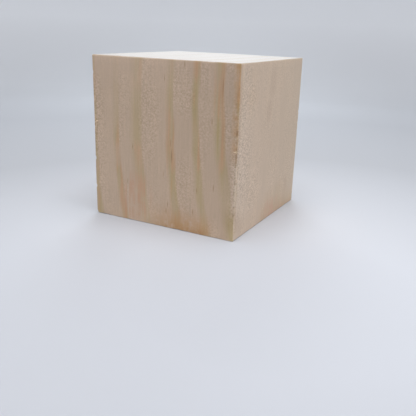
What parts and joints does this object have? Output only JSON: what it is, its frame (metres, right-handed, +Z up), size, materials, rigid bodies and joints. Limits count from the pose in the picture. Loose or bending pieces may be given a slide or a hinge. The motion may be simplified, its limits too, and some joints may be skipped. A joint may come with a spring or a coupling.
{
  "type": "wooden cube",
  "caption": "Solid cube of pale sawn softwood with upright grain, lightly eased edges and a knocked lower corner, for standing, stacking, propping or craft work.",
  "frame": {"origin": "middle of the base, on the surface that the cube stands on", "axes": "+Z up along the grain, out of the top end; -Y out of the front face; +X out of the right face"},
  "size_m": [0.075, 0.075, 0.076],
  "materials": {
    "pine": "bare, sawn and lightly sanded"
  },
  "bodies": {
    "root": {"cube_block": "pine"}
  },
  "joints": []
}
